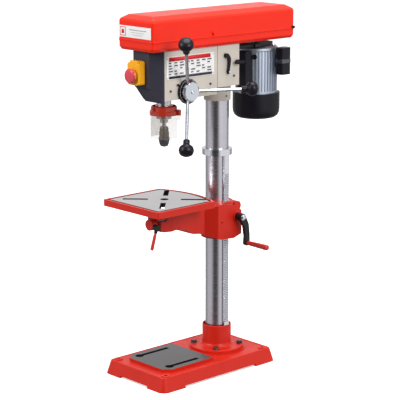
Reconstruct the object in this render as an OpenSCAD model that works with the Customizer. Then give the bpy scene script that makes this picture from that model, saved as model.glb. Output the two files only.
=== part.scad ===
// Bench drill press: cast base, steel column, rack-and-worm table, belt-driven head.
// Millimetres. +Z up, -Y towards the operator, +X to the operator's right.
// The origin is the centre of the base's four floor-bolt holes, on the floor.

/* [Base] */
// Width of the base at the floor
base_w = 282; // [274:1:290]
// Length of the base at the floor
base_l = 482; // [470:1:500]
// Height of the base's top face
base_h = 42; // [38:1:43]
// Spacing of the floor bolts across the base
bolt_sx = 222; // [210:1:228]
// Spacing of the floor bolts along the base
bolt_sy = 409; // [395:1:415]
// Radius of the floor-bolt holes
bolt_r = 6; // [4:0.5:7]

/* [Column] */
// Diameter of the column
col_d = 73; // [72:0.5:74]
// Distance of the column's axis behind the origin
col_y = 110; // [108:1:112]
// Height of the head casting's flat top
head_top = 1018; // [1016:1:1024]

/* [Table] */
// Width of the table
table_w = 254; // [230:1:260]
// Height of the table's machined face
table_z = 557; // [555:1:559]
// Radius of the hole in the middle of the table
table_bore = 13; // [8:0.5:16]

/* [Head] */
// Distance of the spindle's axis in front of the origin
spin_y = 109; // [108:1:110]
// Outer radius of the quill
quill_r = 22.5; // [22.5:0.1:22.6]
// Half width of the head casting
head_x = 65; // [64:0.5:65]
// Width of the belt cover
cover_w = 158; // [156:1:162]
// Height of the belt cover's lid above the pan
lid_h = 75; // [72:1:82]

/* [Feed handles] */
// Number of spokes
spokes = 3; // [2:1:4]
// Angle of the spokes out of the hub's plane
spoke_tilt = 27; // [25:1:30]
// Distance of each knob's middle from the hub's axis
knob_at = 177; // [160:1:190]

/* [Hidden] */
$fn = 64;
// Extra length that takes a cut right through a face
cut = 1;
// Radial clearance of a running fit, and of parts that only pass each other
fit = 0.06;
gap = 0.3;
pressure_angle = 25;
backlash = 0.4;

red = "#e0351f";
steel = "#b9bcc6";
iron = "#a3a3a6";
beige = "#cfc7bb";
slate = "#3d3d4a";
black = "#202024";
yellow = "#eba81f";
silver = "#c9cdd6";

col_r = col_d / 2;
base_flare = 13;
seat_h = base_h + 2;
flange_t = 10;
neck_r = 46;
neck_top = 122;
bolt_circle = 73;
tongue_r = 43.6;

lift_m = 1.75;
lift_z = 12;
lift_rp = lift_m * lift_z / 2;
rack_back = col_r + gap;
rack_pitch_x = 44.25;
rack_w = 20;
rack_top = 669.5;
ring_z = 670;
ring_h = 19;
gear_x = rack_pitch_x + lift_rp;
gear_zc = 461.5;
worm_y = col_y + 18;
worm_z = 480;
worm_core = 6;
worm_tip = 9;
crank_len = 87;
crank_lean = 13.2;

tilt_z = 486;
pin_r = 9;
lug_r = 17;
front_lug = [-172, -150.5];
rear_lug = [-60, -44.5];
arm_x = 40;
arm_wall = 6;
tilt_y = -164;
tilt_sz = 481;
lever_lean = 163;
lock_y = 177;
lock_z = 497;

feed_m = 2;
feed_z = 15;
feed_rp = feed_m * feed_z / 2;
quill_line = 19.5;
feed_y = -spin_y + quill_line + feed_rp;
feed_zc = 892;
journal_r = 17;
hub_x = 69;
sw_x = -8;
sw_w = 48;
quill_z0 = 806;
quill_z1 = 985;
rotor_r = 8;

pulley_z = 1030;
step_h = 15;
steps = 4;
big_r = 62;
step_dr = 9;
idler_y = 85;
motor_y = 279;
idler_pivot = [-31, 57];
rod_x = 48;
rod_r = 7;
rod_z = 1003;

pan_y0 = -221;
pan_y1 = 371;
seam_z = head_top + 28;
wall = 3;
hinge_x = -cover_w / 2 - 4.5;
knuckle_r = 4.2;

// ---- helpers -------------------------------------------------------------

// A cylinder along +X or +Y that starts at p
module xrod(p, r, h) translate(p) rotate([0, 90, 0]) cylinder(r = r, h = h);
module yrod(p, r, h) translate(p) rotate([-90, 0, 0]) cylinder(r = r, h = h);
module zrod(p, r, h) translate(p) cylinder(r = r, h = h);

// A box between two corners
module span(a, b) translate(a) cube(b - a);

// A rounded rectangle's points between two corners
function rrect(a, b, r, n = 6) = [
    for (q = [[b.x - r, b.y - r, 0], [a.x + r, b.y - r, 90],
              [a.x + r, a.y + r, 180], [b.x - r, a.y + r, 270]])
        for (i = [0:n]) [q.x + r * cos(q.z + 90 * i / n), q.y + r * sin(q.z + 90 * i / n)]];

// An outline in Y and Z, extruded along X from x0 to x1
module side(pts, x0, x1)
    translate([x0, 0, 0]) rotate([90, 0, 90]) linear_extrude(x1 - x0) polygon(pts);

function inv(a) = tan(a) * 180 / PI - a;

// Outline of an involute gear, one tooth centred on +X
function gear_pts(m, z, bl = backlash, n = 5) =
    let (rp = m * z / 2, rb = rp * cos(pressure_angle), ra = rp + m, rr = rp - 1.25 * m,
         h = 90 / z - bl / 2 / rp * 180 / PI + inv(pressure_angle))
    [for (t = [0:z - 1]) let (c = 360 * t / z) each concat(
        [[rr * cos(c - h), rr * sin(c - h)]],
        [for (k = [0:n]) let (r = rb + (ra - rb) * k / n, a = c - h + inv(acos(rb / r)))
            [r * cos(a), r * sin(a)]],
        [for (k = [n:-1:0]) let (r = rb + (ra - rb) * k / n, a = c + h - inv(acos(rb / r)))
            [r * cos(a), r * sin(a)]],
        [[rr * cos(c + h), rr * sin(c + h)]])];

// Outline of one rack gap in [depth, length], depth counted from the pitch line
function gap_pts(m, s, over, bl = backlash) =
    let (w = (PI * m / 2 + bl) / 2, root = 1.25 * m)
    [[over, s - w - over * tan(pressure_angle)], [-root, s - w + root * tan(pressure_angle)],
     [-root, s + w - root * tan(pressure_angle)], [over, s + w + over * tan(pressure_angle)]];

// Points of a belt's path, thickness t outside two circles on the Y axis
function belt_pts(r1, y1, r2, y2, n = 20) =
    let (f = asin((r1 - r2) / (y2 - y1)))
    concat([for (i = [0:n]) let (a = 180 - f + (180 + 2 * f) * i / n) [r1 * cos(a), y1 + r1 * sin(a)]],
           [for (i = [0:n]) let (a = f + (180 - 2 * f) * i / n) [r2 * cos(a), y2 + r2 * sin(a)]]);

module belt(r1, y1, r2, y2, z)
    translate([0, 0, z - 3]) linear_extrude(6) difference() {
        polygon(belt_pts(r1 - 0.5, y1, r2 - 0.5, y2));
        polygon(belt_pts(r1 - 6.5, y1, r2 - 6.5, y2));
    }

// Half section of a stepped V pulley; radii run from the bottom step up
function pulley_pts(rs, bore) = concat([[bore, 0]],
    [for (k = [0:len(rs) - 1]) let (z = k * step_h, r = rs[k]) each
        [[r, z], [r, z + 2], [r - 8, z + 4.3], [r - 8, z + step_h - 4.3], [r, z + step_h - 2],
         [r, z + step_h]]],
    [[bore, len(rs) * step_h]]);

down_steps = [for (k = [0:steps - 1]) big_r - k * step_dr];
up_steps = [for (k = [steps - 1:-1:0]) big_r - k * step_dr];

module pulley(rs, bore, y)
    translate([0, y, pulley_z]) rotate_extrude() polygon(pulley_pts(rs, bore));

// ---- base and column -----------------------------------------------------

module slab(inset, z, t = 0.01)
    translate([0, 0, z]) linear_extrude(t)
        polygon(rrect([-base_w / 2 + inset, -base_l / 2 + inset],
                      [base_w / 2 - inset, base_l / 2 - inset], 24 - min(inset, 12)));

// A keyhole: a round mouth in front of a long slot
module keyhole(x) {
    zrod([x, -154, -cut], 13, base_h + 20);
    span([x - 7, -154, -cut], [x + 7, -36, base_h + 20]);
}

module base() color(red) difference() {
    union() {
        difference() {
            hull() {
                slab(0, 0);
                slab(base_flare, base_h - 0.01);
            }
            hull() {
                slab(12, -cut);
                slab(22, base_h - 8);
            }
        }
        translate([0, 0, base_h - 4]) linear_extrude(14)
            polygon([[-97, -165], [-75, -190], [75, -190], [97, -165], [97, 4], [-97, 4]]);
        zrod([0, col_y, 28], 90, seat_h - 28);
        for (x = [-1, 1], y = [-1, 1])
            zrod([x * bolt_sx / 2, y * bolt_sy / 2, 0], 13, base_h + 3);
        span([-4, -base_l / 2 + 16, 10], [4, base_l / 2 - 16, base_h - 4]);
        span([-base_w / 2 + 16, 0, 10], [base_w / 2 - 16, 8, base_h - 4]);
    }
    for (x = [-1, 1], y = [-1, 1])
        zrod([x * bolt_sx / 2, y * bolt_sy / 2, -cut], bolt_r, base_h + 10);
    span([-64, -base_l, -cut], [64, base_l, 7]);
    span([-base_w, -150, -cut], [base_w, 150, 7]);
    for (x = [-70, 70])
        keyhole(x);
    for (a = [45:90:315])
        translate([0, col_y, 0]) rotate([0, 0, a]) zrod([bolt_circle, 0, -cut], 5.5, 80);
}

module column_flange() color(red) translate([0, col_y, 0]) difference() {
    rotate_extrude() polygon(concat(
        [[0, seat_h], [86, seat_h], [86, seat_h + flange_t - 2], [84, seat_h + flange_t]],
        [for (i = [0:6]) let (a = 270 - 15 * i)
            [neck_r + 12 + 12 * cos(a), seat_h + flange_t + 12 + 12 * sin(a)]],
        [[neck_r, neck_top - 2], [neck_r - 2, neck_top], [0, neck_top]]));
    zrod([0, 0, 0], col_r + fit, 200);
    zrod([0, 0, neck_top - 10], tongue_r, 20);
    for (a = [45:90:315])
        rotate([0, 0, a]) zrod([bolt_circle, 0, 0], 5.5, 80);
}

module flange_bolts() color(iron) translate([0, col_y, 0]) for (a = [45:90:315])
    rotate([0, 0, a]) {
        zrod([bolt_circle, 0, 16], 5, seat_h + flange_t - 14);
        zrod([bolt_circle, 0, seat_h + flange_t], 10, 2);
        for (z = [20, seat_h + flange_t + 2])
            translate([bolt_circle, 0, z]) cylinder(r = 9.2, h = 7, $fn = 6);
    }

module column() color(steel) translate([0, col_y, seat_h]) difference() {
    cylinder(r = col_r, h = 1000 - seat_h);
    translate([0, 0, -cut]) cylinder(r = col_r - 4, h = 1000 - seat_h + 2 * cut);
}

// The rack hangs in annular recesses at both ends, so it can walk round the column
module rack() color(steel) translate([0, col_y + rack_w / 2, 0]) rotate([90, 0, 0])
    linear_extrude(rack_w) difference() {
        union() {
            translate([rack_back, neck_top + 1])
                square([rack_pitch_x + lift_m - rack_back, rack_top - neck_top - 1]);
            translate([rack_back, neck_top - 8]) square([42 - rack_back, rack_top - neck_top + 15]);
        }
        for (i = [-59:27])
            polygon(gap_pts_x(gear_zc + i * PI * lift_m));
    }

function gap_pts_x(s) = [for (p = gap_pts(lift_m, s, lift_m + cut)) [rack_pitch_x + p.x, p.y]];

module rack_ring() color(steel) translate([0, col_y, 0]) difference() {
    union() {
        zrod([0, 0, ring_z], 47.5, ring_h);
        xrod([-54, 0, ring_z + 12], 4, 10);
    }
    zrod([0, 0, ring_z - cut], col_r + fit, ring_h + 2 * cut);
    zrod([0, 0, ring_z - cut], tongue_r, 9);
}

// ---- table lift ----------------------------------------------------------

arm_side = [[-138, 510], [-145, 506], [-148, 498], [-148, 476], [-145, 468], [-138, 463],
    [-112, 463], [-104, 466], [-98, 471], [-86, 472], [-78, 465], [-70, 460], [-52, 458],
    [-44, 452], [-36, 444], [-26, 441], [10, 436], [40, 424], [61, 416], [100, 410],
    [100, 520], [70, 520], [40, 519], [14, 510]];

// The arm narrows towards its front end
arm_plan = [[-arm_x, 100], [-arm_x, -108], [-27, -149], [27, -149], [arm_x, -108], [arm_x, 100]];

house_side = [[20, 430], [20, 512], [38, 520], [70, 526], [117, 515], [147, 498], [161, 480],
    [155, 424], [150, 420], [116, 410], [61, 414]];

module bracket_arm() intersection() {
    translate([0, 0, 400]) linear_extrude(140) polygon(arm_plan);
    union() {
        difference() {
            side(arm_side, -arm_x, arm_x);
            translate([0, 0, 6]) side(arm_side, -arm_x + arm_wall, arm_x - arm_wall);
            span([-arm_x + arm_wall, -180, 480], [arm_x - arm_wall, 50, 540]);
        }
        span([-arm_x + cut, -147, 465], [arm_x - cut, -62, 494]);
    }
}

module bracket_body() {
    bracket_arm();
    intersection() {
        translate([0, 0, 400]) linear_extrude(140)
            polygon([[20, 20], [arm_x, 20], [70, 50], [70, 150], [58, 160], [20, 160]]);
        side(house_side, 20, 80);
    }
    zrod([0, col_y, 408], 50, 114);
    xrod([60, worm_y, worm_z], 15, 14);
    for (x = [[-16, 14], [2, 22]])
        xrod([x[0], lock_y, lock_z], 15, x[1]);
    for (s = [-16, 2])
        span([s, 145, lock_z - 15], [s + 14, lock_y, lock_z + 14]);
}

module table_bracket() color(red) difference() {
    bracket_body();
    zrod([0, col_y, 380], col_r + fit, 180);
    span([0, col_y - rack_w / 2 - gap, 380],
         [rack_pitch_x + lift_m + gap, col_y + rack_w / 2 + gap, 560]);
    span([-2, 140, 380], [2, 220, 560]);
    yrod([0, -149, tilt_z], pin_r + fit, 90);
    xrod([-30, lock_y, lock_z], 5 + fit, 45);
    // room for the gear, its shaft and the worm
    span([gear_x - 13, col_y - 10, gear_zc - 12.7], [67.6, 137.6, gear_zc + 12.7]);
    yrod([gear_x, 86, gear_zc], 5 + fit, 66);
    xrod([46.8, worm_y, worm_z], 9.6, 21.2);
    xrod([67, worm_y, worm_z], 9.5 + fit, 10);
    xrod([34, worm_y, worm_z], 5 + fit, 14);
    xrod([64, 66, 467], 3, 10);
}

module lift_gear() color(steel) {
    translate([gear_x, 100.5, gear_zc]) rotate([-90, 0, 0]) rotate([0, 0, 180])
        linear_extrude(36.5) polygon(gear_pts(lift_m, lift_z));
    yrod([gear_x, 88, gear_zc], 5, 62);
}

// A left-hand helical thread: four points round each section, swept along X
thread_n = 24;
thread_turns = 2;
function thread_ring(i) =
    let (a = -360 * i / thread_n, c = -thread_turns / 2 + i / thread_n, p = PI * lift_m)
    [for (q = [[worm_core - 0.5, -1.3], [worm_tip, -0.4], [worm_tip, 0.4], [worm_core - 0.5, 1.3]])
        [c * p + q.y, q.x * cos(a), q.x * sin(a)]];

module worm_thread() {
    n = thread_n * thread_turns;
    pts = [for (i = [0:n]) each thread_ring(i)];
    walls = [for (i = [0:n - 1], k = [0:3]) let (a = 4 * i + k, b = 4 * i + (k + 1) % 4)
        each [[b, a, b + 4], [b + 4, a, a + 4]]];
    polyhedron(pts, concat([[3, 0, 2], [2, 0, 1]], walls,
        [[4 * n + 1, 4 * n, 4 * n + 2], [4 * n + 2, 4 * n, 4 * n + 3]]));
}

module worm_shaft() color(steel) {
    translate([gear_x, worm_y, worm_z]) rotate([90, 0, 0]) worm_thread();
    xrod([47, worm_y, worm_z], worm_core, 20);
    xrod([36, worm_y, worm_z], 5, 12);
    xrod([66.5, worm_y, worm_z], 9.5, 8);
    xrod([74, worm_y, worm_z], 6, 27);
    xrod([100.2, worm_y, worm_z], 4.5, 2.5);
}

grip_dy = crank_len * sin(crank_lean);
grip_dz = -crank_len * cos(crank_lean);

module crank_arm() color(black) difference() {
    translate([0, worm_y, worm_z]) {
        xrod([75, 0, 0], 11.5, 14);
        for (s = [[0, 0, 12, 16, -28, 9.5], [16, -28, 9.5, 21, -62, 8.5],
                  [21, -62, 8.5, grip_dy, grip_dz, 9.5]])
            translate([88, 0, 0]) rotate([90, 0, 90]) linear_extrude(12) hull() {
                translate([s[0], s[1]]) circle(r = s[2], $fn = 32);
                translate([s[3], s[4]]) circle(r = s[5], $fn = 32);
            }
        xrod([99, grip_dy, grip_dz], 4, 84);
    }
    xrod([70, worm_y, worm_z], 6, 31);
}

module crank_grip() color(red) translate([101, worm_y + grip_dy, worm_z + grip_dz])
    rotate([0, 90, 0]) difference() {
        rotate_extrude() polygon([[0, 0], [6.5, 0], [7, 2], [7.5, 20], [9, 82], [8, 86], [4, 88], [0, 88]]);
        translate([0, 0, -cut]) cylinder(r = 4 + fit, h = 84);
    }

module column_lock() color(black) {
    xrod([-34, lock_y, lock_z], 5, 48);
    xrod([-30, lock_y, lock_z], 10, 13.5);
    translate([-24, lock_y, lock_z]) rotate([210, 0, 0]) cylinder(r = 5, h = 70);
}

// ---- table ---------------------------------------------------------------

table_y0 = -spin_y - 136;
corner_y = table_y0 + 226;
arch_r = 283.8;

module table_outline(inset) intersection() {
    polygon(rrect([-table_w / 2 + inset, table_y0 + inset], [table_w / 2 - inset, 60], max(1, 5 - inset)));
    translate([0, corner_y + 30 - arch_r]) circle(r = arch_r - inset, $fn = 180);
}

module table_slot(a) translate([0, -spin_y, table_z - 30]) rotate([0, 0, a])
    linear_extrude(40) translate([50, -8]) square([77, 16]);

module table_lug(y) {
    yrod([0, y[0], tilt_z], lug_r, y[1] - y[0]);
    span([-5, y[0], tilt_z], [5, y[1], table_z - 10]);
}

module table() color(red) difference() {
    union() {
        difference() {
            translate([0, 0, table_z - 20]) linear_extrude(20) table_outline(0);
            translate([0, 0, table_z - 20 - cut]) linear_extrude(9) table_outline(8);
        }
        for (y = [front_lug, rear_lug])
            table_lug(y);
        zrod([0, -spin_y, table_z - 19], 26, 15);
        for (y = [[front_lug[0], -spin_y - 17], [-spin_y + 17, rear_lug[1]]])
            span([-5, y[0], tilt_z + 24], [5, y[1], table_z - 8]);
        span([-5, table_y0 + 5, table_z - 18], [5, corner_y + 15, table_z - 8]);
        for (y = [-180, -38])
            span([-table_w / 2 + 5, y - 3, table_z - 18], [table_w / 2 - 5, y + 3, table_z - 8]);
    }
    translate([0, 0, table_z - 3]) linear_extrude(10) difference() {
        table_outline(8);
        table_outline(13);
    }
    for (a = [45:90:315])
        table_slot(a);
    zrod([0, -spin_y, table_z - 60], table_bore, 80);
    yrod([0, -166, tilt_z], pin_r, 131);
    xrod([9.6, tilt_y, tilt_sz], 4 + fit, 20);
}

module tilt_pin() color(steel) yrod([0, -166, tilt_z], pin_r, 123);

module tilt_lever() color(black) {
    xrod([10, tilt_y, tilt_sz], 4, 8);
    xrod([17.7, tilt_y, tilt_sz], 9.5, 17);
    lever_axis() cylinder(r = 5.5, h = 16);
}

module lever_axis() translate([26.5, tilt_y, tilt_sz]) rotate([lever_lean, 0, 0]) children();

module tilt_handle() color(red) lever_axis() translate([0, 0, 16]) rotate_extrude()
    polygon([[0, 0], [4, 0], [5, 8], [5.5, 48], [4.5, 53], [0, 54]]);

// ---- head ----------------------------------------------------------------

head_y0 = -163;
head_seam = 51;
head_y1 = 141;
head_low = 870;
rear_low = 890;

// The lower left corner of the head is cut off along one plane, moved inwards by d
module corner_cut(d = 0) translate([-head_x, head_y0, 905]) rotate([0, 55.7, 49.3])
    translate([-150, -150, d - 120]) cube([300, 300, 120]);

module head_body() {
    difference() {
        union() {
            span([-head_x, head_y0, head_low], [head_x, head_seam - 2, head_top]);
            span([-head_x + 2, head_seam - 3, rear_low], [head_x - 2, head_seam + 3, head_top]);
            span([-head_x, head_seam, rear_low], [head_x, head_y1, head_top]);
        }
        difference() {
            union() {
                span([-head_x + 7, head_y0 + 7, head_low + 8], [head_x - 7, head_seam - 8, head_top + cut]);
                span([-head_x + 7, head_seam + 8, rear_low + 8], [head_x - 7, head_y1 - 8, head_top + cut]);
            }
            zrod([0, -spin_y, head_low], 34, 200);
            zrod([0, col_y, rear_low], 47, 200);
            zrod([idler_pivot.x, idler_pivot.y, 980], 11, 60);
            xrod([-head_x, feed_y, feed_zc], 25, 2 * head_x);
            for (x = [-rod_x, rod_x])
                yrod([x, head_seam, rod_z], rod_r + 4.5, 90);
            corner_cut(7);
        }
        corner_cut();
    }
    zrod([0, -spin_y, head_low - 6], 31, 10);
    zrod([0, col_y, 841], 41.8, 60);
    xrod([head_x - cut, feed_y, feed_zc], 24, 1.8);
}

module head_casting() color(beige) difference() {
    head_body();
    zrod([0, -spin_y, 850], quill_r + fit, 150);
    zrod([0, -spin_y, 999], 20, 40);
    zrod([0, col_y, 830], col_r + fit, 174);
    xrod([-80, feed_y, feed_zc], journal_r + fit, 160);
    zrod([idler_pivot.x, idler_pivot.y, 990], 6 + fit, 60);
    for (x = [-rod_x, rod_x])
        yrod([x, 44, rod_z], rod_r + fit, 110);
    xrod([40, 82, 985], 5 + fit, 40);
    xrod([40, 130, 962], 4 + fit, 40);
    for (z = [855, 872])
        xrod([30, col_y, z], 3.9, 20);
}

module head_screws() color(black) for (z = [855, 872])
    xrod([col_r + 0.5, col_y, z], 3.9, 4.5);

plan_cover = [[-head_x, head_y0], [-head_x, -168], [-36, -197], [36, -197], [head_x, -168],
    [head_x, head_y0]];
plan_inner = [[-head_x + 3, head_y0 + cut], [-head_x + 3, -167], [-35, -194], [35, -194],
    [head_x - 3, -167], [head_x - 3, head_y0 + cut]];
cover_side = [[head_y0, 863], [-169, 863], [-182, 874], [-188, 890], [-190, 903], [-197, 908],
    [-197, 1014], [-193, head_top], [head_y0, head_top]];

module front_cover() color(slate) difference() {
    intersection() {
        translate([0, 0, 850]) linear_extrude(180) polygon(plan_cover);
        side(cover_side, -80, 80);
    }
    difference() {
        union() {
            difference() {
                translate([0, 0, 872]) linear_extrude(143) polygon(plan_inner);
                translate([0, 0.5, 0])
                    side([for (p = cover_side) [min(p.x, -165), p.y]], -80, 80);
            }
            intersection() {
                translate([0, 0, 912]) linear_extrude(103) polygon(plan_inner);
                side([[-194, 912], [head_y0 + cut, 912], [head_y0 + cut, 1015], [-194, 1015]],
                     -80, 80);
            }
        }
        corner_cut(4);
    }
    corner_cut();
}

// A rounded slab in the plane of the switch, w wide and z0 to z1 high, from y to the front
module switch_slab(w, z0, z1, y, t, r) translate([sw_x, y, 0]) rotate([90, 0, 0])
    linear_extrude(t) polygon(rrect([-w / 2, z0], [w / 2, z1], r));

module switch_box() color(yellow) difference() {
    switch_slab(sw_w, 917, 988, -197, 15, 6);
    switch_slab(sw_w - 8, 921, 984, -207, 10, 4);
    yrod([sw_x - 8, -208, 960], 8 + gap, 9);
}

module start_button() color("#2f9e44") yrod([sw_x - 8, -211.4, 960], 8, 8.5);

// The flap hangs from the top of the switch and covers the buttons
module switch_flap() color(yellow) {
    difference() {
        switch_slab(sw_w, 917, 983, -212.3, 11, 7);
        switch_slab(sw_w - 6, 920, 980, -212.3 + cut, 9, 5);
        yrod([sw_x, -230, 945], 7 + gap, 20);
    }
    difference() {
        yrod([sw_x, -227.3, 945], 16, 5);
        yrod([sw_x, -230, 945], 7 + gap, 20);
    }
    xrod([sw_x - 18, -216, 985.5], 3.5, 36);
}

module stop_button() color("#d8404a") translate([sw_x, -241, 945]) rotate([-90, 0, 0]) {
    rotate_extrude() polygon([[0, 0], [14, 0.8], [20.5, 3], [22.5, 6], [22.5, 9], [19, 10], [0, 10]]);
    translate([0, 0, 9]) cylinder(r = 7, h = 15);
    translate([0, 0, 21]) cylinder(r = 10, h = 3);
}

module speed_plate() color("white") difference() {
    span([head_x, -156, 933], [head_x + 1.2, 35, 1000]);
    for (y = [-151, 30], z = [938, 995])
        xrod([head_x - cut, y, z], 1.5, 5);
}

// ---- belt cover ----------------------------------------------------------

module cover_slab(inset, z, t = 0.01)
    translate([0, 0, z]) linear_extrude(t)
        polygon(rrect([-cover_w / 2 + inset, pan_y0 + inset], [cover_w / 2 - inset, pan_y1 - inset],
                      max(4, 14 - inset)));

knuckles = [-190, 70, 330];

module knuckle(y, len) {
    yrod([hinge_x, y - len / 2, seam_z], knuckle_r, len);
}

module belt_pan() color(red) difference() {
    union() {
        difference() {
            union() {
                hull() {
                    cover_slab(7, head_top);
                    cover_slab(0, head_top + 9);
                }
                cover_slab(0, head_top + 9, seam_z - head_top - 9);
            }
            cover_slab(9, head_top + wall, 60);
            cover_slab(wall, head_top + 10, 60);
        }
        for (y = knuckles) {
            knuckle(y, 16);
            span([hinge_x, y - 8, seam_z - 11], [-cover_w / 2 + cut, y + 8, seam_z - 1]);
        }
    }
    zrod([0, -spin_y, 1000], 20, 40);
    zrod([idler_pivot.x, idler_pivot.y, 1000], 9, 40);
    span([-12, motor_y - 28, 1000], [12, motor_y + 12, 1040]);
    for (y = knuckles)
        yrod([hinge_x, y - 20, seam_z], 2.5, 40);
}

module hinge_pins() color(steel) for (y = knuckles)
    yrod([hinge_x, y - 19, seam_z], 2.5, 38);

module belt_lid() color(red) difference() {
    union() {
        cover_slab(0, seam_z + gap, lid_h - 17);
        hull() {
            cover_slab(0, seam_z + lid_h - 17);
            cover_slab(4, seam_z + lid_h - 11);
            cover_slab(23, seam_z + lid_h - 0.01);
        }
        for (y = knuckles, s = [-1, 1]) {
            knuckle(y + s * 13.5, 10);
            span([hinge_x, y + s * 13.5 - 5, seam_z + gap],
                 [-cover_w / 2 + cut, y + s * 13.5 + 5, seam_z + 10]);
        }
        xrod([cover_w / 2 - cut, 20, seam_z + 12], 5, 7);
    }
    cover_slab(wall, seam_z - cut, lid_h - 19 + 2 * cut);
    hull() {
        cover_slab(wall, seam_z + lid_h - 19);
        cover_slab(26, seam_z + lid_h - 4);
    }
    for (y = knuckles)
        yrod([hinge_x, y - 20, seam_z], 2.5 + fit, 40);
    for (y = knuckles)
        yrod([hinge_x, y - 8.4, seam_z], 5.2, 16.8);
}

// ---- drive ---------------------------------------------------------------

module sleeve_bearings() color(iron) translate([0, -spin_y, 1000]) difference() {
    cylinder(r = 20, h = 15);
    translate([0, 0, -cut]) cylinder(r = 11 + fit, h = 17);
}

// Six keys stand on the spindle's top end and slide in the sleeve
module spline(r, key_r, w, z0, z1) {
    zrod([0, -spin_y, z0], r, z1 - z0);
    for (a = [0:60:300])
        translate([0, -spin_y, z0]) rotate([0, 0, a])
            translate([r - 1.5, -w / 2, 0]) cube([key_r - r + 1.5, w, z1 - z0]);
}

module drive_sleeve() color(steel) difference() {
    zrod([0, -spin_y, 990], 11, 104);
    spline(6.15, 7.7, 2.4, 980, 1100);
}

module spindle_pulley() color(silver) pulley(down_steps, 11, -spin_y);

module idler_pulley() color(silver) pulley(up_steps, 6 + fit, idler_y);

module idler_arm() color(iron) {
    zrod([idler_pivot.x, idler_pivot.y, 991], 6, 34);
    zrod([0, idler_y, 1024], 6, 68);
    zrod([0, idler_y, 1023], 11, 6.7);
    translate([0, 0, 1023]) linear_extrude(4) hull() {
        translate(idler_pivot) circle(r = 11, $fn = 32);
        translate([0, idler_y]) circle(r = 11, $fn = 32);
    }
}

module motor_pulley() color(silver) pulley(down_steps, 7, motor_y);

module front_belt() color(black)
    belt(down_steps[1], -spin_y, up_steps[1], idler_y, pulley_z + 1.5 * step_h);

module rear_belt() color(black)
    belt(up_steps[2], idler_y, down_steps[2], motor_y, pulley_z + 2.5 * step_h);

motor_r = 67;
fin_n = 40;
function fin_pts() = [for (i = [0:fin_n - 1]) let (a = 360 * i / fin_n) each
    [for (q = [[-2.2, 62], [-1.1, 66], [1.1, 66], [2.2, 62]]) [q.y * cos(a + q.x), q.y * sin(a + q.x)]]];

module motor_body() color(silver) translate([0, motor_y, 0]) difference() {
    union() {
        translate([0, 0, 852]) linear_extrude(130) polygon(fin_pts());
        rotate_extrude()
            polygon([[0, 980], [65, 980], [motor_r, 983], [motor_r, 990], [60, 996], [0, 998]]);
        zrod([0, 0, 848], motor_r, 6);
    }
    zrod([0, 0, 858], 36, 120);
    zrod([0, 0, 800], 7 + fit, 220);
}

module motor_mount() color(black) {
    difference() {
        translate([0, motor_y, 998]) linear_extrude(10)
            polygon([[-62, -66], [62, -66], [62, -20], [38, 34], [-38, 34], [-62, -20]]);
        zrod([0, motor_y, 990], 14, 30);
    }
    for (x = [-rod_x, rod_x])
        yrod([x, 66, rod_z], rod_r, 150);
}

module fan_cover() color(black) translate([0, motor_y, 0]) difference() {
    rotate_extrude() polygon([[0, 766], [46, 766], [60, 769], [69, 776], [73.5, 786], [74.5, 798],
        [74.5, 848], [0, 848]]);
    rotate_extrude() polygon([[0, 769], [45, 769], [58, 772], [66.5, 779], [70.5, 788], [71.5, 799],
        [71.5, 845], [0, 845]]);
    zrod([0, 0, 840], 60, 10);
    for (a = [0:30:330])
        rotate([0, 0, a]) translate([20, -2, 760]) cube([32, 4, 11]);
}

// Leaves room for the motor's finned body
module clear_of_motor() difference() {
    children();
    zrod([0, motor_y, 700], motor_r + 0.2, 400);
}

module junction_box() color(black) clear_of_motor() {
    span([2, motor_y - 81, 858], [36, motor_y - 45, 984]);
    zrod([18, motor_y - 72, 850], 7, 14);
}

module capacitor_case() color(black) clear_of_motor() {
    translate([0, 0, 908]) linear_extrude(84)
        polygon(rrect([68, motor_y + 13], [100, motor_y + 55], 9));
    span([46, motor_y + 18, 930], [72, motor_y + 50, 970]);
}

module motor_shaft() color(steel) translate([0, motor_y, 0]) {
    zrod([0, 0, 782], 7, 312);
    zrod([0, 0, 884], 32, 76);
    zrod([0, 0, 800], 14, 24);
    for (a = [0:45:315])
        rotate([0, 0, a]) translate([12, -1, 796]) cube([44, 2, 30]);
}

module tension_lever() color(black) {
    xrod([52, 82, 985], 5, 15);
    xrod([66.2, 82, 985], 7, 9);
    side([[78, 990], [88, 989], [95, 983], [98, 974], [97, 958], [93, 940], [94, 930], [88, 929],
          [86, 940], [89, 958], [89, 972], [86, 978], [78, 980]], 69, 74);
    xrod([67.5, 91, 934], 5, 9);
}

module lock_knob() color(black) {
    xrod([48, 130, 962], 4, 18);
    xrod([66, 130, 962], 7, 12);
    span([74, 113, 958], [84, 147, 966]);
}

// ---- quill and spindle ---------------------------------------------------

module quill() color(steel) difference() {
    zrod([0, -spin_y, quill_z0], quill_r, quill_z1 - quill_z0);
    zrod([0, -spin_y, quill_z0 - cut], 11, 200);
    zrod([0, -spin_y, quill_z0 - cut], 16, 15);
    zrod([0, -spin_y, quill_z1 - 12], 14, 20);
    span([-8, -spin_y + quill_line + feed_m, 878], [8, 0, 1000]);
    translate([-8, 0, 0]) rotate([90, 0, 90]) linear_extrude(16)
        for (i = [-2:15])
            polygon([for (p = gap_pts(feed_m, feed_zc + i * PI * feed_m, feed_m + cut))
                [p.x - spin_y + quill_line, p.y]]);
}

module quill_bearings() color(iron) translate([0, -spin_y, 0]) {
    difference() {
        zrod([0, 0, quill_z0], 16, 14);
        zrod([0, 0, quill_z0 - cut], rotor_r + fit, 20);
    }
    difference() {
        zrod([0, 0, quill_z1 - 12], 14, 11);
        zrod([0, 0, quill_z1 - 20], rotor_r + fit, 30);
    }
}

module spindle() color(steel) {
    zrod([0, -spin_y, 794], rotor_r, 194);
    zrod([0, -spin_y, 794], 12, 11);
    zrod([0, -spin_y, 768], 7, 30);
    spline(6, 7.5, 2, 987, 1094);
}

guard_pin = [46 * cos(30), -spin_y + 46 * sin(30)];

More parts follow.
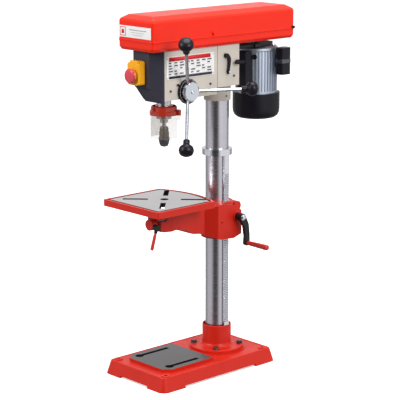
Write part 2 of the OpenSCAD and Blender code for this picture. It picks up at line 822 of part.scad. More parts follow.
module guard_collar() color("#b4321e") difference() {
    union() {
        translate([0, -spin_y, 0]) rotate_extrude() polygon([[0, 818], [27, 818], [27, 826], [38, 826],
            [38, 818], [43.5, 818], [43.5, 830], [40, 832], [39, 843], [36, 845], [35, 833],
            [28, 833], [27, 846], [0, 846]]);
        zrod([guard_pin.x, guard_pin.y, 818], 8, 16);
        yrod([0, -spin_y - 47, 838], 4.5, 12);
    }
    zrod([0, -spin_y, 800], quill_r, 60);
    zrod([guard_pin.x, guard_pin.y, 800], 3 + fit, 60);
}

// The shield wraps the front and sides and is open at the back
module guard_arc(r0, r1, z, h) translate([0, -spin_y, z]) difference() {
    cylinder(r = r1, h = h);
    translate([0, 0, -cut]) cylinder(r = r0, h = h + 2 * cut);
    translate([0, 0, -cut]) linear_extrude(h + 2 * cut)
        polygon([[0, 0], [80 * cos(30), 80 * sin(30)], [80, 110], [-80, 110],
            [80 * cos(150), 80 * sin(150)]]);
}

module guard_shield() color("#d8d8e0", 0.4) {
    guard_arc(40.2, 42, 748, 60);
    guard_arc(38.5, 43.5, 807, 10.5);
    difference() {
        zrod([guard_pin.x, guard_pin.y, 804], 7, 13.5);
        zrod([0, -spin_y, 800], 38.5, 40);
    }
    zrod([guard_pin.x, guard_pin.y, 808], 3, 30);
}

module chuck_body() color(iron) difference() {
    translate([0, -spin_y, 0]) rotate_extrude() polygon([[0, 750], [14.5, 750], [14.5, 766],
        [13.5, 768], [13.5, 776], [12, 780], [9, 782], [0, 782]]);
    zrod([0, -spin_y, 767], 7, 30);
    for (k = [0:2])
        jaw_axis(k) translate([0, 0, 20]) cylinder(r = 2.8, h = 20);
}

// Each jaw lies on a line that leans outwards going up
module jaw_axis(k) translate([0, -spin_y, 720]) rotate([0, 0, 120 * k + 90])
    translate([3.7, 0, 0]) rotate([0, 10, 0]) children();

module jaw(k) color(steel) jaw_axis(k) cylinder(r = 2.7, h = 31);

module chuck_jaw_1() jaw(0);
module chuck_jaw_2() jaw(1);
module chuck_jaw_3() jaw(2);

module chuck_sleeve() color(black) translate([0, -spin_y, 0]) difference() {
    rotate_extrude() polygon([[0, 722], [10.5, 722], [12, 724], [15.5, 738], [16, 740],
        [16, 749.6], [0, 749.6]]);
    rotate_extrude() polygon([[0, 721], [7.2, 721], [13.6, 750], [0, 750]]);
}

// ---- feed ----------------------------------------------------------------

module feed_shaft() color(steel) {
    translate([-7.5, feed_y, feed_zc]) rotate([0, 90, 0]) rotate([0, 0, feed_rot])
        linear_extrude(15) polygon(gear_pts(feed_m, feed_z));
    xrod([-20, feed_y, feed_zc], 12, 40);
    for (x = [-64, 17])
        xrod([x, feed_y, feed_zc], journal_r, 47);
    xrod([60, feed_y, feed_zc], 10, 27);
    xrod([-80, feed_y, feed_zc], 8, 20);
}

// A tooth points at the quill
feed_rot = -90;

module feed_hub() color(silver) difference() {
    union() {
        xrod([66.2, feed_y, feed_zc], 22, 10);
        translate([74.5, feed_y, feed_zc]) rotate([0, 90, 0]) rotate_extrude()
            polygon([[0, 0], [28, 0], [30, 2], [30, 10], [27.5, 14.5], [22, 16], [0, 16.5]]);
    }
    xrod([60, feed_y, feed_zc], 10, 27.2);
    for (k = [0:spokes - 1])
        spoke_axis(k) translate([0, 0, spoke_in]) cylinder(r = 5, h = 60);
}

module spoke_axis(k) translate([hub_x, feed_y, feed_zc]) rotate([360 / spokes * k - 90, 0, 0])
    rotate([0, spoke_tilt, 0]) children();

spoke_in = 16;
spoke_len = knob_at / cos(spoke_tilt);

module feed_spokes() color(silver) for (k = [0:spokes - 1])
    spoke_axis(k) translate([0, 0, spoke_in]) cylinder(r = 5, h = spoke_len - spoke_in);

module feed_knobs() color(black) for (k = [0:spokes - 1])
    spoke_axis(k) translate([0, 0, spoke_len - 32]) difference() {
        rotate_extrude() polygon([[0, 0], [9, 0], [10, 2], [10, 12], [12, 17], [20, 24], [22.5, 31],
            [22.5, 36], [20, 44], [13, 49], [5, 51], [0, 51]]);
        translate([0, 0, -cut]) cylinder(r = 5, h = 33);
    }

module depth_ring() color(black) difference() {
    union() {
        translate([67, feed_y, feed_zc]) rotate([0, 90, 0]) rotate_extrude()
            polygon([[0, 0], [37, 0], [38, 1], [38, 6], [37, 7], [0, 7]]);
        translate([70.5, feed_y, feed_zc]) rotate([60, 0, 0]) cylinder(r = 3, h = 48);
    }
    xrod([60, feed_y, feed_zc], 22 + fit, 40);
}

module spring_cap() color(beige) difference() {
    translate([-head_x, feed_y, feed_zc]) rotate([0, -90, 0]) rotate_extrude()
        polygon([[0, 0], [31, 0], [31, 16], [28, 20], [0, 20]]);
    xrod([-82, feed_y, feed_zc], 28, 20);
}

// A flat clock spring between the shaft's end and the cap
coil_turns = 4;
function coil_pts(s, n = 96) = [for (i = [0:n]) let (a = 360 * coil_turns * i / n, r = 10 + 16 * i / n + s)
    [r * cos(a), r * sin(a)]];

module return_spring() color(steel) translate([-80, feed_y, feed_zc]) rotate([0, 90, 0]) linear_extrude(10)
    polygon(concat(coil_pts(0.6), [for (p = [len(coil_pts(0)) - 1:-1:0]) coil_pts(-0.6)[p]]));

base();
column_flange();
flange_bolts();
column();
rack_ring();
head_casting();
head_screws();
front_cover();
switch_box();
speed_plate();
belt_pan();
hinge_pins();
sleeve_bearings();
spring_cap();
return_spring();
front_belt();
rear_belt();
rack();
table_bracket();
lift_gear();
worm_shaft();
crank_arm();
crank_grip();
column_lock();
table();
tilt_pin();
tilt_lever();
tilt_handle();
quill();
quill_bearings();
guard_collar();
guard_shield();
spindle();
chuck_body();
chuck_sleeve();
chuck_jaw_1();
chuck_jaw_2();
chuck_jaw_3();
drive_sleeve();
spindle_pulley();
idler_arm();
idler_pulley();
motor_body();
motor_mount();
fan_cover();
junction_box();
capacitor_case();
motor_shaft();
motor_pulley();
tension_lever();
lock_knob();
belt_lid();
feed_shaft();
feed_hub();
feed_spokes();
feed_knobs();
depth_ring();
switch_flap();
stop_button();
start_button();
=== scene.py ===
import math

import bmesh
import bpy
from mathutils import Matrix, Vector


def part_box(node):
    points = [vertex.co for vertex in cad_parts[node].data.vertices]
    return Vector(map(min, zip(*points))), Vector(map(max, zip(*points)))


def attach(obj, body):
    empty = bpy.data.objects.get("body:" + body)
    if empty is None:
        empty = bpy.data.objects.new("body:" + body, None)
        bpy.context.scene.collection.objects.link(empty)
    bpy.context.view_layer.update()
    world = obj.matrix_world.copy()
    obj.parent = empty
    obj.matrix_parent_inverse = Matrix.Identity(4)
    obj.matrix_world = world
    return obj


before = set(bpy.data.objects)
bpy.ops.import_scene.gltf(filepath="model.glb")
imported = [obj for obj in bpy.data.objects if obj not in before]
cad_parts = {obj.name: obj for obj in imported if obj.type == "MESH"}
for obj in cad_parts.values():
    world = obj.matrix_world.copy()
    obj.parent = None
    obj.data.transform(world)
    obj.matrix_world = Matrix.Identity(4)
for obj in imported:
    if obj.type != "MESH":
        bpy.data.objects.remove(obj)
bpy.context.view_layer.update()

MM = 0.001
X, Y, Z = Vector((1, 0, 0)), Vector((0, 1, 0)), Vector((0, 0, 1))
scene = bpy.context.scene


# ---- where things are, from the frame --------------------------------------------------------

def low(node):
    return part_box(node)[0]


def high(node):
    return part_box(node)[1]


def middle(node):
    return (low(node) + high(node)) / 2


SPINDLE = middle("quill")
FEED = middle("feed_hub")
MOTOR = middle("fan_cover")
CRANK = middle("worm_shaft")
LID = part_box("belt_lid")
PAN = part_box("belt_pan")
KNUCKLE = 4.2 * MM                # the lid's hinge knuckles reach this far below the seam
SEAM = LID[0].z + KNUCKLE
LID_LEFT = -PAN[1].x


# ---- materials -------------------------------------------------------------------------------

class Look:
    """One node material round a Principled shader, in the object's own coordinates."""

    def __init__(self, name, colour, rough, metal=0.0, coat=0.0, coat_rough=0.1, specular=0.5):
        self.material = bpy.data.materials.new(name)
        self.material.use_nodes = True
        self.tree = self.material.node_tree
        self.shader = self.tree.nodes["Principled BSDF"]
        self.place = self.add("ShaderNodeTexCoord").outputs["Object"]
        self.colour = colour
        self.set("Base Color", (*colour, 1))
        self.set("Roughness", rough)
        self.set("Metallic", metal)
        self.set("Coat Weight", coat)
        self.set("Coat Roughness", coat_rough)
        self.set("Specular IOR Level", specular)
        self.rough = rough
        self.bumps = None
        self.tint = None

    def add(self, kind, **settings):
        node = self.tree.nodes.new(kind)
        for key, value in settings.items():
            setattr(node, key, value)
        return node

    def join(self, a, b):
        self.tree.links.new(a, b)

    def set(self, socket, value):
        self.shader.inputs[socket].default_value = value

    def noise(self, size, detail, stretch=(1, 1, 1)):
        """Noise whose blobs are about size metres across, drawn out by stretch."""
        mapping = self.add("ShaderNodeMapping")
        mapping.inputs["Scale"].default_value = [1 / s for s in stretch]
        self.join(self.place, mapping.inputs["Vector"])
        noise = self.add("ShaderNodeTexNoise")
        noise.inputs["Scale"].default_value = 1 / size
        noise.inputs["Detail"].default_value = detail
        self.join(mapping.outputs["Vector"], noise.inputs["Vector"])
        return noise.outputs["Fac"]

    def remap(self, value, low_in, high_in, low_out, high_out):
        ramp = self.add("ShaderNodeMapRange")
        for socket, number in zip(("From Min", "From Max", "To Min", "To Max"),
                                  (low_in, high_in, low_out, high_out)):
            ramp.inputs[socket].default_value = number
        self.join(value, ramp.inputs["Value"])
        return ramp.outputs["Result"]

    def blend_colour(self, factor, colour):
        """Mixes colour over what the base colour is so far, by factor."""
        mix = self.add("ShaderNodeMix", data_type="RGBA")
        mix.inputs["B"].default_value = (*colour, 1)
        if self.tint is None:
            mix.inputs["A"].default_value = (*self.colour, 1)
        else:
            self.join(self.tint, mix.inputs["A"])
        self.join(factor, mix.inputs["Factor"])
        self.tint = mix.outputs["Result"]
        self.join(self.tint, self.shader.inputs["Base Color"])
        return self

    def mottled(self, size, amount, shade, stretch=(1, 1, 1)):
        """Uneven tone: patches of a darker or lighter version of the base colour."""
        patches = self.noise(size, 4.0, stretch)
        factor = self.remap(patches, 0.35, 0.7, 0.0, amount)
        return self.blend_colour(factor, [min(1.0, c * shade) for c in self.colour])

    def uneven_gloss(self, size, spread, stretch=(1, 1, 1)):
        """Roughness that wanders by spread to either side."""
        value = self.noise(size, 5.0, stretch)
        rough = self.remap(value, 0.3, 0.7, self.rough - spread, self.rough + spread)
        self.join(rough, self.shader.inputs["Roughness"])
        return self

    def rough_skin(self, size, height, strength, detail=3.0, stretch=(1, 1, 1)):
        """Bump from noise: cast skin, moulded grain or tool marks, height in metres."""
        bump = self.add("ShaderNodeBump")
        bump.inputs["Strength"].default_value = strength
        bump.inputs["Distance"].default_value = height
        self.join(self.noise(size, detail, stretch), bump.inputs["Height"])
        if self.bumps is not None:
            self.join(self.bumps, bump.inputs["Normal"])
        self.bumps = bump.outputs["Normal"]
        self.join(self.bumps, self.shader.inputs["Normal"])
        return self

    def worn_edges(self, colour, amount):
        """A worn line along outside edges, broken up by noise."""
        bevel = self.add("ShaderNodeBevel", samples=6)
        bevel.inputs["Radius"].default_value = 1.2 * MM
        true = self.add("ShaderNodeNewGeometry")
        dot = self.add("ShaderNodeVectorMath", operation="DOT_PRODUCT")
        self.join(bevel.outputs["Normal"], dot.inputs[0])
        self.join(true.outputs["Normal"], dot.inputs[1])
        edge = self.remap(dot.outputs["Value"], 0.98, 0.86, 0.0, 1.0)
        patch = self.remap(self.noise(6 * MM, 5.0), 0.45, 0.62, 0.0, amount)
        both = self.add("ShaderNodeMath", operation="MULTIPLY")
        self.join(edge, both.inputs[0])
        self.join(patch, both.inputs[1])
        return self.blend_colour(both.outputs["Value"], colour)


def paint(name, colour, skin=0.25 * MM, worn=(0.10, 0.09, 0.09)):
    """Gloss enamel on a casting."""
    look = Look(name, colour, 0.40, coat=0.08, coat_rough=0.12, specular=0.22)
    look.mottled(60 * MM, 0.35, 0.82).uneven_gloss(25 * MM, 0.06)
    look.rough_skin(7 * MM, skin, 0.35).rough_skin(1.6 * MM, 0.12 * MM, 0.30)
    return look.worn_edges(worn, 0.35).material


def sheet_paint(name, colour):
    """Gloss enamel on pressed sheet, with a faint orange peel."""
    look = Look(name, colour, 0.34, coat=0.07, coat_rough=0.08, specular=0.20)
    look.mottled(90 * MM, 0.25, 0.86).uneven_gloss(40 * MM, 0.05)
    return look.rough_skin(3.0 * MM, 0.10 * MM, 0.22).material


def turned(name, colour, rough, stretch, size=0.7 * MM, height=0.012 * MM):
    """Turned or ground metal with fine lines along the long axes of stretch."""
    look = Look(name, colour, rough, metal=1.0)
    look.mottled(size * 3, 0.35, 0.78, stretch).mottled(80 * MM, 0.25, 0.85)
    look.uneven_gloss(size * 2, 0.05, stretch)
    return look.rough_skin(size, height, 0.5, 4.0, stretch).material


def moulded(name, colour, rough, grain=0.05 * MM, coat=0.0, specular=0.3):
    """Moulded plastic with a fine grain."""
    look = Look(name, colour, rough, coat=coat, coat_rough=0.15, specular=specular)
    look.mottled(30 * MM, 0.3, 1.25).uneven_gloss(12 * MM, 0.05)
    return look.rough_skin(0.8 * MM, grain, 0.4).material


RINGS = (40, 40, 1)      # lines round a vertical axis
ALONG_X = (40, 1, 1)
ALONG_Y = (1, 40, 1)

RED = (0.78, 0.019, 0.005)
# the castings' red is set darker than the sheet's, to how they look in shade: painted shade
SHADED_CAST_RED = (0.55, 0.016, 0.006)
MATS = {
    "red_cast": paint("red_enamel_cast", SHADED_CAST_RED),
    "red_sheet": sheet_paint("red_enamel_sheet", RED),
    # dark red: painted shade for the band along the table's groove
    "groove_band_shade": sheet_paint("dark_red_enamel", (0.16, 0.010, 0.006)),
    "beige": paint("beige_enamel", (0.56, 0.51, 0.45), 0.15 * MM, (0.25, 0.24, 0.23)),
    "black_paint": paint("black_enamel", (0.010, 0.010, 0.013), 0.10 * MM, (0.15, 0.15, 0.16)),
    "column": turned("ground_column_steel", (0.60, 0.58, 0.64), 0.29, RINGS, height=0.002 * MM),
    "steel": turned("turned_steel", (0.62, 0.62, 0.65), 0.26, (1, 1, 1)),
    "dark_steel": turned("dark_steel", (0.13, 0.13, 0.14), 0.36, (1, 1, 1)),
    "zinc": turned("zinc_plate", (0.74, 0.75, 0.80), 0.20, RINGS),
    "chrome": turned("polished_chrome", (0.70, 0.74, 0.80), 0.09, (1, 1, 1), height=0.002 * MM),
    "spoke": turned("chromed_rod", (0.50, 0.54, 0.60), 0.20, (1, 1, 1), height=0.002 * MM),
    "machined": turned("machined_table_iron", (0.66, 0.64, 0.64), 0.36, ALONG_X, 1.1 * MM),
    # groove: iron darkened to near black as painted shade in the slots and grooves
    "groove": turned("groove_iron", (0.035, 0.03, 0.03), 0.6, (1, 1, 1), 2 * MM),
    "pad": turned("machined_base_iron", (0.19, 0.185, 0.19), 0.45, ALONG_Y, 1.3 * MM, 0.03 * MM),
    "aluminium": turned("cast_aluminium", (0.66, 0.68, 0.72), 0.36, (1, 1, 1), 2 * MM, 0.05 * MM),
    "motor": turned("motor_aluminium", (0.52, 0.57, 0.66), 0.42, (1, 1, 1), 2 * MM, 0.08 * MM),
    "slate": moulded("slate_plastic", (0.026, 0.025, 0.040), 0.5),
    "black": moulded("black_plastic", (0.007, 0.006, 0.011), 0.34, 0.02 * MM, 0.0, 0.2),
    "fan_black": moulded("fan_cover_black", (0.007, 0.006, 0.010), 0.40, 0.05 * MM, 0.0, 0.2),
    "yellow": moulded("yellow_plastic", (0.78, 0.36, 0.006), 0.35, 0.02 * MM, 0.1),
    "stop": moulded("stop_button_red", (0.56, 0.045, 0.065), 0.25, 0.01 * MM, 0.3),
    "start": moulded("start_button_green", (0.03, 0.35, 0.08), 0.3, 0.01 * MM, 0.3),
    "grip": moulded("red_grip_plastic", (0.50, 0.022, 0.012), 0.32, 0.03 * MM, 0.3),
    "guard": moulded("guard_red_plastic", (0.36, 0.026, 0.012), 0.25, 0.02 * MM, 0.3),
    "rubber": moulded("belt_rubber", (0.012, 0.012, 0.013), 0.7, 0.08 * MM),
    "white": moulded("white_label", (0.74, 0.74, 0.73), 0.4, 0.01 * MM),
    "ink_red": moulded("label_red", (0.60, 0.02, 0.02), 0.4, 0.01 * MM),
    "ink_dark": moulded("label_dark", (0.030, 0.028, 0.042), 0.4, 0.01 * MM),
    "ink_grey": moulded("label_grey", (0.40, 0.40, 0.42), 0.4, 0.01 * MM),
}


def clear_plastic():
    """Clear polycarbonate, a little yellowed, with faint scratches."""
    look = Look("clear_shield_plastic", (0.30, 0.235, 0.18), 0.08, coat=0.1)
    look.uneven_gloss(8 * MM, 0.03).rough_skin(20 * MM, 0.05 * MM, 0.2)
    look.set("Alpha", 0.22)
    return look.material


MATS["clear"] = clear_plastic()


# ---- CAD nodes that stay ---------------------------------------------------------------------

WELD_GAP = 0.004 * MM
FLAT_ANGLE = math.radians(0.6)    # faces that lean by less than this are one flat face
EDGE_ANGLE = math.radians(28)     # edges that turn by more than this are rounded
LARGE_FACE_WEIGHT = 60            # how much large faces steer the shading


def soften(obj, width, edge_angle=EDGE_ANGLE):
    """Welds, tidies and rounds the edges of a mesh with modifiers only."""
    weld = obj.modifiers.new("weld", "WELD")
    weld.merge_threshold = WELD_GAP
    tidy = obj.modifiers.new("tidy", "DECIMATE")
    tidy.decimate_type = "DISSOLVE"
    tidy.angle_limit = FLAT_ANGLE
    bevel = obj.modifiers.new("bevel", "BEVEL")
    bevel.width = width
    bevel.segments = 2
    bevel.limit_method = "ANGLE"
    bevel.angle_limit = edge_angle
    bevel.miter_outer = "MITER_ARC"
    normals = obj.modifiers.new("normals", "WEIGHTED_NORMAL")
    normals.mode = "FACE_AREA"
    normals.weight = LARGE_FACE_WEIGHT


def dress(node, look, width):
    """Gives a CAD node its look, and rounds its edges by width."""
    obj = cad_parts[node]
    obj.data.materials.clear()
    obj.data.materials.append(MATS[look])
    for polygon in obj.data.polygons:
        polygon.use_smooth = True
    if width:
        soften(obj, width)


def face_look(node, look, test):
    """Gives the CAD node's faces that pass test(centre, normal) another material."""
    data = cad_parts[node].data
    data.materials.append(MATS[look])
    index = len(data.materials) - 1
    for polygon in data.polygons:
        if test(polygon.center, polygon.normal):
            polygon.material_index = index


# Each CAD node's look, and how far its edges are rounded in millimetres
LOOKS = {
    "base": ("red_cast", 1.6), "column_flange": ("red_cast", 1.2), "flange_bolts": ("dark_steel", 0.6),
    "column": ("column", 0.5), "rack_ring": ("zinc", 0.8), "rack": ("zinc", 0.15),
    "head_casting": ("beige", 1.0), "head_screws": ("dark_steel", 0.3), "front_cover": ("slate", 1.5),
    "switch_box": ("yellow", 1.0), "speed_plate": ("white", 0.3), "belt_pan": ("red_sheet", 2.0),
    "hinge_pins": ("steel", 0.3), "sleeve_bearings": ("steel", 0.4), "spring_cap": ("beige", 1.5),
    "return_spring": ("steel", 0), "front_belt": ("rubber", 0.5), "rear_belt": ("rubber", 0.5),
    "table_bracket": ("red_cast", 1.6), "lift_gear": ("steel", 0.15), "worm_shaft": ("steel", 0.2),
    "crank_arm": ("black_paint", 1.6), "crank_grip": ("grip", 0.6), "column_lock": ("black_paint", 0.8),
    "table": ("red_cast", 1.2), "tilt_pin": ("steel", 0.4), "tilt_lever": ("black_paint", 0.8),
    "tilt_handle": ("grip", 0.5), "quill": ("steel", 0.4), "quill_bearings": ("steel", 0.4),
    "guard_collar": ("guard", 0.8), "guard_shield": ("clear", 0.3), "spindle": ("steel", 0.3),
    "chuck_body": ("dark_steel", 0.5), "chuck_sleeve": ("dark_steel", 0.4), "chuck_jaw_1": ("steel", 0.3),
    "chuck_jaw_2": ("steel", 0.3), "chuck_jaw_3": ("steel", 0.3), "drive_sleeve": ("steel", 0.3),
    "spindle_pulley": ("aluminium", 0.5), "idler_arm": ("dark_steel", 0.6),
    "idler_pulley": ("aluminium", 0.5), "motor_pulley": ("aluminium", 0.5), "motor_body": ("motor", 0.4),
    "motor_mount": ("black_paint", 0.8), "fan_cover": ("fan_black", 1.0), "junction_box": ("black", 2.0),
    "capacitor_case": ("black", 2.0), "motor_shaft": ("steel", 0.4), "tension_lever": ("black", 1.2),
    "lock_knob": ("black", 1.0), "belt_lid": ("red_sheet", 2.0), "feed_shaft": ("steel", 0.2),
    "feed_hub": ("chrome", 0.8), "feed_spokes": ("spoke", 0.3), "feed_knobs": ("black", 0.8),
    "depth_ring": ("black", 0.8), "switch_flap": ("yellow", 1.0), "stop_button": ("stop", 0.8),
    "start_button": ("start", 0.5),
}


ARCH_RADIUS = 283.8 * MM          # of the table's rear edge


def from_table_edge(spot):
    """How far a point is inside the table's outline."""
    arch_middle = high("table").y - ARCH_RADIUS
    return min(high("table").x - abs(spot.x), spot.y - low("table").y,
               ARCH_RADIUS - math.hypot(spot.x, spot.y - arch_middle))


def faces_up(normal):
    return normal.z > 0.9


def faces_sideways(normal):
    return abs(normal.z) < 0.5


def dress_table():
    """Bare iron on the table's face, and painted shade: near-black walls and floor in its slots and
    groove.
    """
    top = high("table").z
    rim, groove_middle, plate = 5 * MM, 10.5 * MM, 21 * MM
    face_look("table", "machined", lambda c, n: faces_up(n) and c.z > top - 0.05 * MM
              and from_table_edge(c) > groove_middle)
    face_look("table", "groove", lambda c, n: faces_sideways(n)
              and top - plate < c.z < top - 0.1 * MM and from_table_edge(c) > rim)
    face_look("table", "groove", lambda c, n: faces_up(n) and 2 * MM < top - c.z < 4 * MM)


def dress_base():
    """Bare iron on the base's pad, and painted shade: near-black walls in its two slots."""
    pad, pad_back = high("base").z, 10 * MM
    face_look("base", "pad", lambda c, n: faces_up(n) and c.z > pad - 1 * MM and c.y < pad_back)
    slots_x, slots_y, slots_z = (55 * MM, 85 * MM), (-170 * MM, -30 * MM), 20 * MM
    face_look("base", "groove", lambda c, n: faces_sideways(n) and c.z > slots_z
              and slots_x[0] < abs(c.x) < slots_x[1] and slots_y[0] < c.y < slots_y[1])


for node_name, (node_look, rounding) in LOOKS.items():
    dress(node_name, node_look, rounding * MM)
dress_table()
dress_base()


# ---- shapes in mesh code ---------------------------------------------------------------------

def axes(along):
    """Two directions across a given one, and that one made one long."""
    w = Vector(along).normalized()
    u = (Z if abs(w.z) < 0.9 else X).cross(w).normalized()
    return u, w.cross(u), w


def lathe(profile, place, along, segs, swell=None):
    """A turned solid. The profile's points are (distance along the axis, radius)."""
    u, v, w = axes(along)
    place = Vector(place)
    verts = []
    for distance, radius in profile:
        for i in range(segs):
            angle = 2 * math.pi * i / segs
            r = radius * (swell(angle) if swell else 1)
            across = u * (r * math.cos(angle)) + v * (r * math.sin(angle))
            verts.append(place + w * distance + across)
    faces = [tuple(reversed(range(segs)))]
    for k in range(len(profile) - 1):
        for i in range(segs):
            j = (i + 1) % segs
            faces.append((k * segs + i, k * segs + j, (k + 1) * segs + j, (k + 1) * segs + i))
    last = (len(profile) - 1) * segs
    faces.append(tuple(last + i for i in range(segs)))
    return verts, faces


def hexagon(angle):
    """Radius of a hexagon of unit corner radius."""
    return math.cos(math.pi / 6) / math.cos((angle + math.pi / 6) % (math.pi / 3) - math.pi / 6)


def flutes(count, depth):
    """A radius that swells by depth between a count of grooves."""
    return lambda angle: 1 + depth * abs(math.sin(count * angle / 2))


def block(a, b):
    """A box between two corners."""
    a, b = Vector(a), Vector(b)
    verts = [Vector((x, y, z)) for x in (a.x, b.x) for y in (a.y, b.y) for z in (a.z, b.z)]
    faces = [(0, 1, 3, 2), (4, 6, 7, 5), (0, 4, 5, 1), (2, 3, 7, 6), (0, 2, 6, 4), (1, 5, 7, 3)]
    return verts, faces


def rounded(a, b, radius, steps=6):
    """A rounded rectangle's outline between two corners in a plane."""
    points = []
    corners = ((b[0] - radius, b[1] - radius, 0), (a[0] + radius, b[1] - radius, 90),
               (a[0] + radius, a[1] + radius, 180), (b[0] - radius, a[1] + radius, 270))
    for cx, cy, start in corners:
        for i in range(steps + 1):
            angle = math.radians(start + 90 * i / steps)
            points.append((cx + radius * math.cos(angle), cy + radius * math.sin(angle)))
    return points


def hoop(outline, section):
    """A closed band round an outline in X and Y: section points are (outwards, height)."""
    n, m = len(outline), len(section)
    verts = []
    for i in range(n):
        before, after = Vector(outline[i - 1]), Vector(outline[(i + 1) % n])
        tangent = (after - before).normalized()
        out = Vector((tangent.y, -tangent.x))
        for outwards, height in section:
            spot = Vector(outline[i]) + out * outwards
            verts.append(Vector((spot.x, spot.y, height)))
    faces = []
    for i in range(n):
        here, there = i * m, ((i + 1) % n) * m
        for k in range(m):
            up = (k + 1) % m
            faces.append((here + k, there + k, there + up, here + up))
    return verts, faces


def piece(name, shapes, look, body, edge):
    """One visible piece of some closed shapes, which rides on a body, with edges rounded by edge."""
    mesh = bpy.data.meshes.new(name)
    verts, faces = [], []
    for shape_verts, shape_faces in shapes:
        start = len(verts)
        verts.extend(shape_verts)
        faces.extend(tuple(start + i for i in face) for face in shape_faces)
    mesh.from_pydata(verts, [], faces)
    work = bmesh.new()
    work.from_mesh(mesh)
    bmesh.ops.recalc_face_normals(work, faces=work.faces)
    work.to_mesh(mesh)
    work.free()
    mesh.materials.append(MATS[look])
    for polygon in mesh.polygons:
        polygon.use_smooth = True
    obj = bpy.data.objects.new(name, mesh)
    scene.collection.objects.link(obj)
    if edge:
        soften(obj, edge, math.radians(30))
    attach(obj, body)


def screw(place, along, radius=3.5 * MM, height=3 * MM):
    """A socket screw's head, with its hexagon socket as a recess."""
    head = [(-0.5 * MM, radius), (height * 0.85, radius), (height, radius * 0.9)]
    socket = [(height, radius * 0.52), (height * 0.35, radius * 0.48)]
    return lathe(head + socket, place, along, 30)


def hex_head(place, along, radius, height, washer=1.3):
    """A hexagon head or nut on a washer that is wider than it by the factor washer."""
    ring = lathe([(-0.3 * MM, radius * washer), (1.0 * MM, radius * washer)], place, along, 32)
    nut = lathe([(0.8 * MM, radius), (height * 0.85, radius), (height, radius * 0.9)],
                place, along, 36, hexagon)
    return [ring, nut]


# ---- details on the CAD's surfaces -----------------------------------------------------------

def lid_label():
    """A plain label on the front of the lid: a square outline and three bars."""
    front = LID[0].y
    left, right, bottom, top = -69 * MM, 72 * MM, 1056 * MM, 1090 * MM
    piece("lid_label", [block((left, front - 0.5 * MM, bottom), (right, front + 0.3 * MM, top))],
          "white", "lid", 0.15 * MM)

    def bar(x0, x1, z0, z1):
        return block((x0, front - 0.8 * MM, z0), (x1, front - 0.2 * MM, z1))

    line, gap = 2 * MM, 7 * MM
    a, b, c, d = left + 3 * MM, left + 29 * MM, bottom + 4 * MM, top - 4 * MM
    square = [bar(a, b, c, c + line), bar(a, b, d - line, d), bar(a, a + line, c, d),
              bar(b - line, b, c, d), bar(a + gap, b - gap, c + gap, d - gap)]
    piece("lid_label_square", square, "ink_red", "lid", 0)
    rows = ((1078, 3.2), (1071, 1.6), (1064, 1.6))     # each bar's height, and how thick it is
    lines = [bar(left + (46 + 6 * row) * MM, right - (20 + 9 * row) * MM, z * MM, (z + thick) * MM)
             for row, (z, thick) in enumerate(rows)]
    piece("lid_label_lines", lines, "ink_grey", "lid", 0)


def chart():
    """A chart without lettering on the plate at the head's side, and the plate's rivets."""
    a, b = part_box("speed_plate")
    face, z0, z1 = b.x, a.z, b.z
    y0, y1 = a.y + 3 * MM, b.y - 3 * MM
    inside, out = face - 0.3 * MM, face + 0.3 * MM
    header = block((inside, y0 + 6 * MM, z1 - 14 * MM), (out, y1 - 12 * MM, z1 - 2 * MM))
    piece("chart_header", [header], "ink_red", "root", 0)
    footer = block((inside, y0 + 6 * MM, z0 + 1.5 * MM), (out, y1 - 6 * MM, z0 + 9 * MM))
    cells = [footer]
    columns, rows = 8, 5
    width = (y1 - y0 - 8 * MM) / columns
    height = (z1 - z0 - 26 * MM) / rows
    for row in range(rows):
        z = z0 + 11 * MM + row * height
        for column in range(columns):
            y = y0 + 4 * MM + column * width
            length = width * (0.5 + 0.1 * ((row * 3 + column) % 4))
            if row == rows - 1 or column == 0 or (row + column) % 3:
                cells.append(block((inside, y + 1.2 * MM, z + height * 0.3),
                                   (out, y + length, z + height * 0.72)))
    piece("chart_cells", cells, "ink_dark", "root", 0)
    rules = [block((inside, y0 + 4 * MM, z0 + 10 * MM + row * height),
                   (out - 0.1 * MM, y1 - 4 * MM, z0 + 10.5 * MM + row * height))
             for row in range(rows + 1)]
    piece("chart_rules", rules, "ink_grey", "root", 0)
    rivet = [(-0.5 * MM, 2 * MM), (0.6 * MM, 2 * MM), (1.1 * MM, 1.1 * MM)]
    rivets = [lathe(rivet, (face, y, z), X, 20)
              for y in (a.y + 4 * MM, b.y - 4 * MM) for z in (z0 + 5 * MM, z1 - 5 * MM)]
    piece("chart_rivets", rivets, "steel", "root", 0)


def cover_details():
    """The lid's rolled hem and the pan's lip along the seam, and the lid's catch."""
    outline = rounded((LID_LEFT, PAN[0].y), (PAN[1].x, PAN[1].y), 14 * MM)
    hem = [(-0.8 * MM, SEAM + 0.5 * MM), (0.9 * MM, SEAM + 0.5 * MM), (1.3 * MM, SEAM + 1.6 * MM),
           (0.9 * MM, SEAM + 3.6 * MM), (-0.8 * MM, SEAM + 4.2 * MM)]
    piece("lid_hem", [hoop(outline, hem)], "red_sheet", "lid", 0.2 * MM)
    lip = [(-0.8 * MM, SEAM - 3.0 * MM), (0.7 * MM, SEAM - 2.6 * MM), (1.0 * MM, SEAM - 1.2 * MM),
           (0.7 * MM, SEAM - 0.3 * MM), (-0.8 * MM, SEAM - 0.3 * MM)]
    piece("pan_lip", [hoop(outline, lip)], "red_sheet", "root", 0.2 * MM)
    side, back, half = PAN[1].x, PAN[1].y - 10 * MM, 7 * MM
    catch = block((side - 1.5 * MM, back - half, SEAM + 1 * MM),
                  (side + 2.2 * MM, back + half, SEAM + 9 * MM))
    piece("lid_catch", [catch], "black", "lid", 0.8 * MM)


